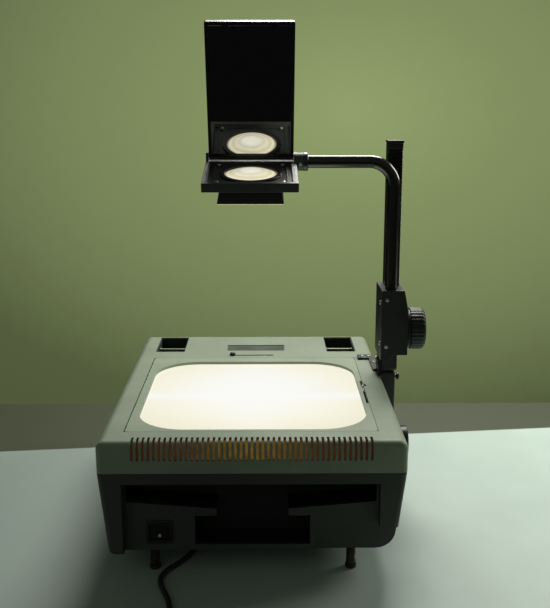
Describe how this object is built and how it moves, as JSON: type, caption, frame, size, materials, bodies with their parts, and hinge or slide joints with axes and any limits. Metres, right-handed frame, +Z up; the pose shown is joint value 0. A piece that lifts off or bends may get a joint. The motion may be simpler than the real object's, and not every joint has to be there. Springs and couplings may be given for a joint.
{
  "type": "overhead projector",
  "caption": "Overhead projector: grey casing with lit hinged glass stage, folding rack post on the right, focus carriage, bent arm tube and tilting mirror head.",
  "frame": {"origin": "bottom centre of the overall box without the free cord, on the table", "axes": "+X to the right with the post on the +X side, +Y to the rear (the fascia faces -Y), +Z up"},
  "size_m": [0.4196, 0.784, 0.6539],
  "materials": {
    "case_grey": "fine moulded texture",
    "deck_grey": "fine moulded texture",
    "frame_grey": "fine moulded texture",
    "liner_black": "plain",
    "pin_steel": "turned",
    "latch_steel": "pressed",
    "clip_steel": "drawn",
    "stage_glass": "clear, tempered",
    "fresnel_plastic": "grooved clear acrylic",
    "lens_glass": "polished",
    "heat_glass": "heat absorbing",
    "lamp_glass": "faceted reflector",
    "sheet_steel": "galvanised",
    "box_black": "matt heat-proof paint",
    "gear_brass": "machined",
    "lever_black": "smooth",
    "knob_black": "moulded",
    "fan_black": "moulded",
    "terminal_plastic": "moulded",
    "switch_black": "smooth",
    "rocker_black": "smooth",
    "leg_black": "blackened",
    "tip_rubber": "soft",
    "bracket_black": "satin enamel",
    "post_black": "satin enamel",
    "cap_black": "moulded",
    "carriage_black": "moulded",
    "tube_black": "glossy enamel",
    "head_black": "moulded",
    "ring_black": "moulded",
    "hood_black": "moulded",
    "lid_black": "moulded",
    "mirror_silver": "front silvered",
    "cord_rubber": "smooth sheath",
    "plug_rubber": "moulded"
  },
  "bodies": {
    "body": {"base_housing": "case_grey", "recess_liner": "liner_black", "upper_housing": "deck_grey", "lid_pin_front": "pin_steel", "lid_pin_rear": "pin_steel", "roll_clip_left": "clip_steel", "roll_clip_right": "clip_steel", "light_box": "box_black", "condenser_lens": "lens_glass", "heat_glass": "heat_glass", "lamp_tunnel": "sheet_steel", "lamp_track": "sheet_steel", "fan_frame": "fan_black", "terminal_block": "terminal_plastic", "switch_bezel": "switch_black", "leg_boss_left": "gear_brass", "leg_boss_right": "gear_brass", "rear_foot_left": "tip_rubber", "rear_foot_right": "tip_rubber", "post_bracket": "bracket_black", "pivot_pin": "pin_steel", "cord_gland": "cord_rubber", "power_cord": "cord_rubber", "cord_coil": "cord_rubber", "plug": "plug_rubber"},
    "stage": {"stage_frame": "frame_grey", "stage_glass": "stage_glass", "fresnel_lens": "fresnel_plastic"},
    "latch": {"stage_latch": "latch_steel"},
    "lever": {"fringe_lever": "lever_black"},
    "lamp_tray_body": {"lamp_tray": "sheet_steel", "lamp_main": "lamp_glass", "lamp_spare": "lamp_glass"},
    "changer": {"changer_pinion": "gear_brass", "changer_knob": "knob_black"},
    "impeller": {"fan_impeller": "fan_black"},
    "rocker": {"power_rocker": "rocker_black"},
    "leg_left": {"front_leg_left": "leg_black", "leg_tip_left": "tip_rubber"},
    "leg_right": {"front_leg_right": "leg_black", "leg_tip_right": "tip_rubber"},
    "post": {"rack_post": "post_black", "post_cap": "cap_black"},
    "lock": {"lock_button": "knob_black"},
    "carriage": {"focus_carriage": "carriage_black", "arm_tube": "tube_black", "tube_collar": "tube_black"},
    "focus": {"focus_pinion": "gear_brass", "focus_knob": "knob_black"},
    "head": {"head_housing": "head_black", "upper_lens": "lens_glass", "lens_ring": "ring_black", "lens_hood": "hood_black", "lower_lens": "lens_glass", "mirror_pin": "pin_steel"},
    "mirror_body": {"mirror_lid": "lid_black", "mirror": "mirror_silver"}
  },
  "joints": [
    {"name": "stage_lid_hinge", "type": "hinge", "parent": "body", "child": "stage", "pos_m": [-0.1778, -0.0555, 0.172], "axis": [0, -1, 0], "range_deg": [0, 40]},
    {"name": "latch_slide", "type": "slide", "parent": "body", "child": "latch", "axis": [1, 0, 0], "range_m": [0, 0.003], "stiffness_N_per_m": 200, "springref_m": -0.004},
    {"name": "fringe_lever_slide", "type": "slide", "parent": "body", "child": "lever", "axis": [1, 0, 0], "range_m": [0, 0.06]},
    {"name": "lamp_tray_slide", "type": "slide", "parent": "body", "child": "lamp_tray_body", "axis": [0, 1, 0], "range_m": [0, 0.054]},
    {"name": "changer_knob_turn", "type": "hinge", "parent": "body", "child": "changer", "pos_m": [0.1142, -0.1625, 0.144], "axis": [1, 0, 0], "range_deg": [0, 238.5]},
    {"name": "fan_spin", "type": "hinge", "parent": "body", "child": "impeller", "pos_m": [0.0022, 0.2355, 0.0833], "axis": [0, 1, 0], "continuous": true},
    {"name": "power_rocker_tilt", "type": "hinge", "parent": "body", "child": "rocker", "pos_m": [-0.1393, -0.22075, 0.054], "axis": [-1, 0, 0], "range_deg": [0, 20]},
    {"name": "leg_left_screw", "type": "slide", "parent": "body", "child": "leg_left", "axis": [0, 0, -1], "range_m": [0, 0.006]},
    {"name": "leg_right_screw", "type": "slide", "parent": "body", "child": "leg_right", "axis": [0, 0, -1], "range_m": [0, 0.006]},
    {"name": "post_fold", "type": "hinge", "parent": "body", "child": "post", "pos_m": [0.1545, 0.0365, 0.191], "axis": [-1, 0, 0], "range_deg": [0, 90]},
    {"name": "lock_button_push", "type": "slide", "parent": "body", "child": "lock", "axis": [-1, 0, 0], "range_m": [0, 0.003], "stiffness_N_per_m": 300, "springref_m": -0.004},
    {"name": "focus_slide", "type": "slide", "parent": "post", "child": "carriage", "axis": [0, 0, 1], "range_m": [-0.005, 0.085]},
    {"name": "focus_knob_turn", "type": "hinge", "parent": "carriage", "child": "focus", "pos_m": [0.1545, 0.0115, 0.245], "axis": [1, 0, 0], "range_deg": [-696.73, 41.93]},
    {"name": "head_tilt", "type": "hinge", "parent": "carriage", "child": "head", "pos_m": [-0.0306, -0.008, 0.478], "axis": [1, 0, 0], "range_deg": [-14, 10]},
    {"name": "mirror_hinge", "type": "hinge", "parent": "head", "child": "mirror_body", "pos_m": [-0.0306, -0.0056, 0.48662], "axis": [1, 0, 0], "range_deg": [-5, 82]}
  ],
  "couplings": [
    {"joint": "changer_knob_turn", "follows": "lamp_tray_slide", "rad_per_m": 76.923},
    {"joint": "focus_knob_turn", "follows": "focus_slide", "rad_per_m": -142.86}
  ]
}
